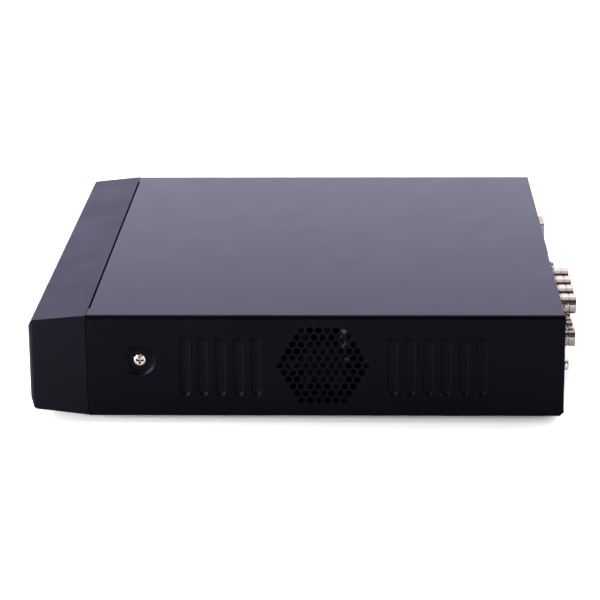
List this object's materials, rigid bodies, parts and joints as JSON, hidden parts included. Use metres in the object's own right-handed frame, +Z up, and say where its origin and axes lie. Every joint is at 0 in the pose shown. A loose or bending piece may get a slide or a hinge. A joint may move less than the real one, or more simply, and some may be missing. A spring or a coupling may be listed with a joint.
{
  "type": "security camera video recorder",
  "caption": "Flat desktop video recorder for security cameras: folded steel case, sloped plastic bezel with keys, side fan vent, rows of bayonet sockets behind.",
  "frame": {"origin": "middle of the overall box in plan, on the surface that the rubber feet stand on", "axes": "+X to the right seen from the front, +Y from the bezel to the rear sockets, +Z up"},
  "size_m": [0.26, 0.2514, 0.0505],
  "materials": {
    "tray_paint": "satin black powder coat",
    "cover_paint": "fine satin black powder coat",
    "nickel_screw": "bright nickel plate",
    "foot_rubber": "matt rubber",
    "bezel_plastic": "fine spark texture, satin",
    "smoked_window": "polished smoked acrylic",
    "clear_guide": "clear acrylic",
    "led_resin": "clear resin",
    "switch_plastic": "moulded",
    "key_plastic": "satin moulded",
    "circuit_board": "green solder mask",
    "zinc_screw": "bright zinc plate",
    "ribbon_insulation": "ribbed ribbon insulation",
    "tinned_steel": "tin plate",
    "black_plastic": "moulded",
    "chip_epoxy": "matt moulded epoxy",
    "heatsink_aluminium": "extruded, clear anodised",
    "capacitor_sleeve": "shrink sleeve",
    "cell_steel": "fine brushed",
    "white_nylon": "moulded nylon",
    "nickel_plate": "bright nickel plate",
    "white_insulator": "turned insulator",
    "gold_contact": "gold flash",
    "red_plastic": "moulded",
    "blue_plastic": "moulded",
    "rocker_plastic": "moulded",
    "fan_plastic": "glass filled, satin",
    "copper_winding": "enamelled copper wire",
    "red_insulation": "flexible insulation",
    "yellow_insulation": "flexible insulation",
    "drive_casting": "cast and machined",
    "drive_lid_steel": "brushed",
    "drive_circuit_board": "blue solder mask"
  },
  "bodies": {
    "case": {"chassis_tray": "tray_paint", "top_cover": "cover_paint", "cover_side_screws": "nickel_screw", "cover_rear_screws": "nickel_screw", "rubber_feet": "foot_rubber", "front_bezel": "bezel_plastic", "fascia_window": "smoked_window", "light_guides": "clear_guide", "status_leds": "led_resin", "key_switches": "switch_plastic", "front_board": "circuit_board", "front_board_screws": "zinc_screw", "front_ribbon": "ribbon_insulation", "usb_shells": "tinned_steel", "usb_tongues": "black_plastic", "main_board": "circuit_board", "board_screws": "zinc_screw", "board_chips": "chip_epoxy", "heatsink": "heatsink_aluminium", "board_capacitors": "capacitor_sleeve", "clock_cell_holder": "black_plastic", "clock_cell": "cell_steel", "buzzer": "black_plastic", "board_headers": "white_nylon", "jack_blocks": "black_plastic", "camera_socket_barrels": "nickel_plate", "camera_socket_insulators": "white_insulator", "camera_socket_contacts": "gold_contact", "audio_socket_shells": "nickel_plate", "audio_socket_inserts": "red_plastic", "monitor_socket_shell": "nickel_plate", "monitor_socket_insert": "blue_plastic", "monitor_socket_nuts": "nickel_plate", "hdmi_shell": "tinned_steel", "hdmi_tongue": "black_plastic", "lan_shell": "tinned_steel", "lan_insert": "black_plastic", "power_inlet": "black_plastic", "power_inlet_pin": "nickel_plate", "power_switch_case": "black_plastic", "fan_frame": "fan_plastic", "fan_stator": "copper_winding", "fan_screws": "zinc_screw", "fan_lead": "red_insulation", "drive_base": "drive_casting", "drive_lid": "drive_lid_steel", "drive_board": "drive_circuit_board", "drive_screws": "zinc_screw", "drive_data_cable": "red_insulation", "drive_power_cable": "yellow_insulation"},
    "key_up_body": {"key_up": "key_plastic"},
    "key_down_body": {"key_down": "key_plastic"},
    "key_left_body": {"key_left": "key_plastic"},
    "key_right_body": {"key_right": "key_plastic"},
    "key_ok_body": {"key_ok": "key_plastic"},
    "key_menu_body": {"key_menu": "key_plastic"},
    "key_record_body": {"key_record": "key_plastic"},
    "key_play_body": {"key_play": "key_plastic"},
    "power_rocker_body": {"power_switch_rocker": "rocker_plastic"},
    "fan_rotor_body": {"fan_rotor": "fan_plastic"}
  },
  "joints": [
    {"name": "key_up_press", "type": "slide", "parent": "case", "child": "key_up_body", "axis": [0, 1, 0], "range_m": [0, 0.0005], "stiffness_N_per_m": 2400},
    {"name": "key_down_press", "type": "slide", "parent": "case", "child": "key_down_body", "axis": [0, 1, 0], "range_m": [0, 0.0005], "stiffness_N_per_m": 2400},
    {"name": "key_left_press", "type": "slide", "parent": "case", "child": "key_left_body", "axis": [0, 1, 0], "range_m": [0, 0.0005], "stiffness_N_per_m": 2400},
    {"name": "key_right_press", "type": "slide", "parent": "case", "child": "key_right_body", "axis": [0, 1, 0], "range_m": [0, 0.0005], "stiffness_N_per_m": 2400},
    {"name": "key_ok_press", "type": "slide", "parent": "case", "child": "key_ok_body", "axis": [0, 1, 0], "range_m": [0, 0.0005], "stiffness_N_per_m": 2400},
    {"name": "key_menu_press", "type": "slide", "parent": "case", "child": "key_menu_body", "axis": [0, 1, 0], "range_m": [0, 0.0005], "stiffness_N_per_m": 2400},
    {"name": "key_record_press", "type": "slide", "parent": "case", "child": "key_record_body", "axis": [0, 1, 0], "range_m": [0, 0.0005], "stiffness_N_per_m": 2400},
    {"name": "key_play_press", "type": "slide", "parent": "case", "child": "key_play_body", "axis": [0, 1, 0], "range_m": [0, 0.0005], "stiffness_N_per_m": 2400},
    {"name": "power_switch_rock", "type": "hinge", "parent": "case", "child": "power_rocker_body", "pos_m": [0.097, 0.1117, 0.027], "axis": [0, 0, 1], "range_deg": [0, 16]},
    {"name": "fan_spin", "type": "hinge", "parent": "case", "child": "fan_rotor_body", "pos_m": [0.1218, 0.007, 0.0273], "axis": [1, 0, 0], "continuous": true}
  ]
}
